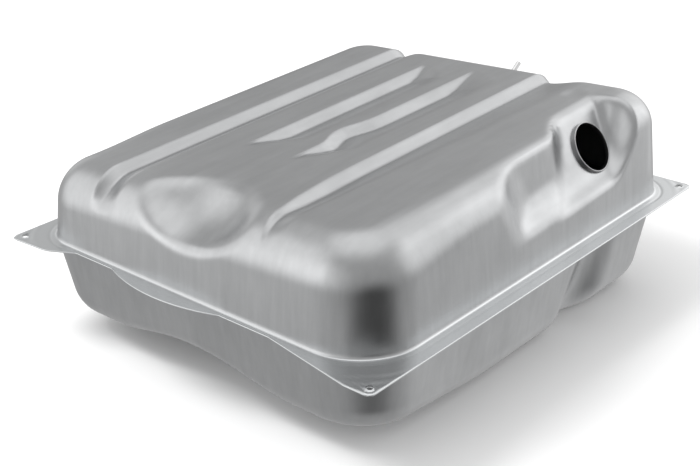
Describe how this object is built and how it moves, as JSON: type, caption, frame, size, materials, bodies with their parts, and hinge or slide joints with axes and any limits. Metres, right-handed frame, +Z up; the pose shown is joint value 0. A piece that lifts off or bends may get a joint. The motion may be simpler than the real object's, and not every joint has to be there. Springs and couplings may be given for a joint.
{
  "type": "car fuel tank",
  "caption": "Pressed steel car fuel tank: two seam-welded shells with corner tabs, a filler collar in a side pocket, inner baffles, a sender ring and a vent pipe.",
  "frame": {"origin": "middle of the bounding box, on the ground under the floor of the tank", "axes": "+X from the scalloped front edge to the rear, +Y from the filler side to the plain side, +Z up, square to the flange"},
  "size_m": [0.78, 0.67, 0.3105],
  "materials": {
    "coated_sheet": "satin coated steel sheet",
    "collar_steel": "satin coated steel tube",
    "inner_sheet": "satin coated steel sheet, seen only inside"
  },
  "bodies": {
    "root": {"upper_shell": "coated_sheet", "lower_shell": "coated_sheet", "filler_collar": "collar_steel", "sender_ring": "collar_steel", "vent_pipe": "collar_steel", "vent_boss": "collar_steel", "front_baffle": "inner_sheet", "middle_baffle": "inner_sheet", "rear_baffle": "inner_sheet"}
  },
  "joints": []
}
